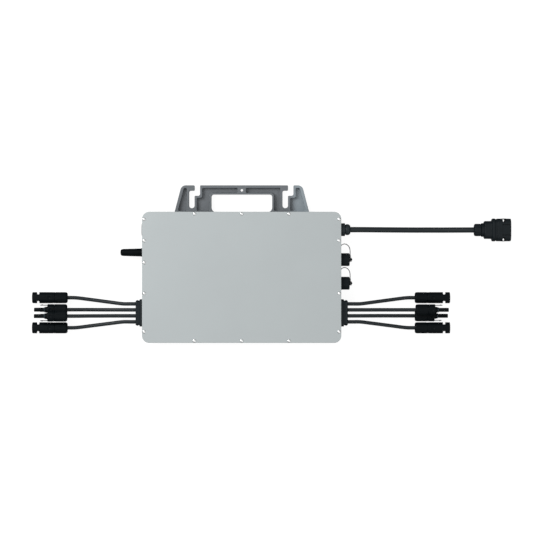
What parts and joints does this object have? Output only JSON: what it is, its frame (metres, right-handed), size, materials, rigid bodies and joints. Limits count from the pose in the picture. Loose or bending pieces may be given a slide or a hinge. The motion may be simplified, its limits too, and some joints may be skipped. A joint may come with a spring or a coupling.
{
  "type": "micro string inverter",
  "caption": "Flat finned inverter with a screwed cover, cast hook bracket, leads with plugs on both sides, capped data ports and a stub antenna.",
  "frame": {"origin": "middle of the plain pad on the housing's finned back, in the plane that the fins and the bracket rest on", "axes": "+Z out of the flat cover, +Y towards the mounting bracket, +X towards the mains lead"},
  "size_m": [0.7988, 0.2629, 0.0347],
  "materials": {
    "cover_metal": "satin anodised grey",
    "cast_metal": "fine blasted and anodised",
    "bracket_metal": "dark grey powder coat",
    "black_plastic": "moulded, finely textured",
    "cable_sheath": "satin",
    "seal_rubber": "matte",
    "leash_wire": "stranded, bright",
    "board": "solder resist",
    "ferrite": "matte",
    "compound": "matte",
    "jack_metal": "bright"
  },
  "bodies": {
    "enclosure": {"housing": "cast_metal", "cover": "cover_metal", "cover_seal": "seal_rubber", "blanking_plug": "cast_metal", "mounting_bracket": "bracket_metal", "main_board": "board", "transformer_1": "ferrite", "transformer_2": "ferrite", "transformer_3": "ferrite", "transformer_4": "ferrite", "output_choke": "ferrite", "potting": "compound", "right_cable_block": "black_plastic", "right_lead_1": "cable_sheath", "right_pv_plug_1": "black_plastic", "right_lead_2": "cable_sheath", "right_pv_socket_2": "black_plastic", "right_lead_3": "cable_sheath", "right_pv_socket_3": "black_plastic", "right_lead_4": "cable_sheath", "right_pv_plug_4": "black_plastic", "left_cable_block": "black_plastic", "left_lead_4": "cable_sheath", "left_pv_plug_4": "black_plastic", "left_lead_3": "cable_sheath", "left_pv_socket_3": "black_plastic", "left_lead_2": "cable_sheath", "left_pv_socket_2": "black_plastic", "left_lead_1": "cable_sheath", "left_pv_plug_1": "black_plastic", "mains_gland": "black_plastic", "mains_cable": "cable_sheath", "mains_plug_shell": "black_plastic", "mains_plug_insert": "black_plastic", "data_port_upper": "black_plastic", "data_port_lower": "black_plastic", "antenna_jack": "jack_metal"},
    "right_pv_nut_1": {"right_pv_nut_1": "black_plastic"},
    "right_pv_nut_2": {"right_pv_nut_2": "black_plastic"},
    "right_latch_2_upper": {"right_latch_2_upper": "black_plastic"},
    "right_latch_2_lower": {"right_latch_2_lower": "black_plastic"},
    "right_pv_nut_3": {"right_pv_nut_3": "black_plastic"},
    "right_latch_3_upper": {"right_latch_3_upper": "black_plastic"},
    "right_latch_3_lower": {"right_latch_3_lower": "black_plastic"},
    "right_pv_nut_4": {"right_pv_nut_4": "black_plastic"},
    "left_pv_nut_4": {"left_pv_nut_4": "black_plastic"},
    "left_pv_nut_3": {"left_pv_nut_3": "black_plastic"},
    "left_latch_3_upper": {"left_latch_3_upper": "black_plastic"},
    "left_latch_3_lower": {"left_latch_3_lower": "black_plastic"},
    "left_pv_nut_2": {"left_pv_nut_2": "black_plastic"},
    "left_latch_2_upper": {"left_latch_2_upper": "black_plastic"},
    "left_latch_2_lower": {"left_latch_2_lower": "black_plastic"},
    "left_pv_nut_1": {"left_pv_nut_1": "black_plastic"},
    "mains_gland_nut": {"mains_gland_nut": "black_plastic"},
    "mains_plug_nut": {"mains_plug_nut": "black_plastic"},
    "leash_upper": {"cap_leash_upper": "leash_wire"},
    "dust_cap_upper": {"dust_cap_upper": "black_plastic"},
    "leash_lower": {"cap_leash_lower": "leash_wire"},
    "dust_cap_lower": {"dust_cap_lower": "black_plastic"},
    "antenna": {"antenna": "black_plastic"}
  },
  "joints": [
    {"name": "right_pv_nut_1_turn", "type": "hinge", "parent": "enclosure", "child": "right_pv_nut_1", "pos_m": [0.2897, -0.0342, 0.0094], "axis": [1, 0, 0], "continuous": true},
    {"name": "right_pv_nut_2_turn", "type": "hinge", "parent": "enclosure", "child": "right_pv_nut_2", "pos_m": [0.2897, -0.0542, 0.0254], "axis": [1, 0, 0], "continuous": true},
    {"name": "right_latch_2_upper_pinch", "type": "hinge", "parent": "enclosure", "child": "right_latch_2_upper", "pos_m": [0.3225, -0.04665, 0.0254], "axis": [0, 0, -1], "range_deg": [0, 7], "stiffness_Nm_per_rad": 0.25},
    {"name": "right_latch_2_lower_pinch", "type": "hinge", "parent": "enclosure", "child": "right_latch_2_lower", "pos_m": [0.3225, -0.06175, 0.0254], "axis": [0, 0, 1], "range_deg": [0, 7], "stiffness_Nm_per_rad": 0.25},
    {"name": "right_pv_nut_3_turn", "type": "hinge", "parent": "enclosure", "child": "right_pv_nut_3", "pos_m": [0.2897, -0.0645, 0.0094], "axis": [1, 0, 0], "continuous": true},
    {"name": "right_latch_3_upper_pinch", "type": "hinge", "parent": "enclosure", "child": "right_latch_3_upper", "pos_m": [0.3225, -0.05695, 0.0094], "axis": [0, 0, -1], "range_deg": [0, 7], "stiffness_Nm_per_rad": 0.25},
    {"name": "right_latch_3_lower_pinch", "type": "hinge", "parent": "enclosure", "child": "right_latch_3_lower", "pos_m": [0.3225, -0.07205, 0.0094], "axis": [0, 0, 1], "range_deg": [0, 7], "stiffness_Nm_per_rad": 0.25},
    {"name": "right_pv_nut_4_turn", "type": "hinge", "parent": "enclosure", "child": "right_pv_nut_4", "pos_m": [0.2897, -0.0846, 0.0094], "axis": [1, 0, 0], "continuous": true},
    {"name": "left_pv_nut_4_turn", "type": "hinge", "parent": "enclosure", "child": "left_pv_nut_4", "pos_m": [-0.292, -0.0846, 0.0094], "axis": [-1, 0, 0], "continuous": true},
    {"name": "left_pv_nut_3_turn", "type": "hinge", "parent": "enclosure", "child": "left_pv_nut_3", "pos_m": [-0.2909, -0.0646, 0.0254], "axis": [-1, 0, 0], "continuous": true},
    {"name": "left_latch_3_upper_pinch", "type": "hinge", "parent": "enclosure", "child": "left_latch_3_upper", "pos_m": [-0.3237, -0.05705, 0.0254], "axis": [0, 0, 1], "range_deg": [0, 7], "stiffness_Nm_per_rad": 0.25},
    {"name": "left_latch_3_lower_pinch", "type": "hinge", "parent": "enclosure", "child": "left_latch_3_lower", "pos_m": [-0.3237, -0.07215, 0.0254], "axis": [0, 0, -1], "range_deg": [0, 7], "stiffness_Nm_per_rad": 0.25},
    {"name": "left_pv_nut_2_turn", "type": "hinge", "parent": "enclosure", "child": "left_pv_nut_2", "pos_m": [-0.2926, -0.0543, 0.0094], "axis": [-1, 0, 0], "continuous": true},
    {"name": "left_latch_2_upper_pinch", "type": "hinge", "parent": "enclosure", "child": "left_latch_2_upper", "pos_m": [-0.3254, -0.04675, 0.0094], "axis": [0, 0, 1], "range_deg": [0, 7], "stiffness_Nm_per_rad": 0.25},
    {"name": "left_latch_2_lower_pinch", "type": "hinge", "parent": "enclosure", "child": "left_latch_2_lower", "pos_m": [-0.3254, -0.06185, 0.0094], "axis": [0, 0, -1], "range_deg": [0, 7], "stiffness_Nm_per_rad": 0.25},
    {"name": "left_pv_nut_1_turn", "type": "hinge", "parent": "enclosure", "child": "left_pv_nut_1", "pos_m": [-0.2919, -0.0342, 0.0094], "axis": [-1, 0, 0], "continuous": true},
    {"name": "mains_gland_nut_turn", "type": "hinge", "parent": "enclosure", "child": "mains_gland_nut", "pos_m": [0.163, 0.0795, 0.018], "axis": [1, 0, 0], "continuous": true},
    {"name": "mains_plug_nut_turn", "type": "hinge", "parent": "enclosure", "child": "mains_plug_nut", "pos_m": [0.388, 0.079, 0.0158], "axis": [1, 0, 0], "continuous": true},
    {"name": "cap_upper_draw", "type": "slide", "parent": "enclosure", "child": "leash_upper", "axis": [1, 0, 0], "range_m": [0, 0.012]},
    {"name": "cap_upper_turn", "type": "hinge", "parent": "leash_upper", "child": "dust_cap_upper", "pos_m": [0.163, 0.0295, 0.018], "axis": [1, 0, 0], "range_deg": [0, 2160]},
    {"name": "cap_lower_draw", "type": "slide", "parent": "enclosure", "child": "leash_lower", "axis": [1, 0, 0], "range_m": [0, 0.012]},
    {"name": "cap_lower_turn", "type": "hinge", "parent": "leash_lower", "child": "dust_cap_lower", "pos_m": [0.163, -0.0099, 0.018], "axis": [1, 0, 0], "range_deg": [0, 2160]},
    {"name": "antenna_turn", "type": "hinge", "parent": "enclosure", "child": "antenna", "pos_m": [-0.163, 0.0414, 0.018], "axis": [-1, 0, 0], "continuous": true}
  ],
  "couplings": [
    {"joint": "cap_upper_draw", "follows": "cap_upper_turn", "m_per_rad": 0.000318},
    {"joint": "cap_lower_draw", "follows": "cap_lower_turn", "m_per_rad": 0.000318}
  ]
}
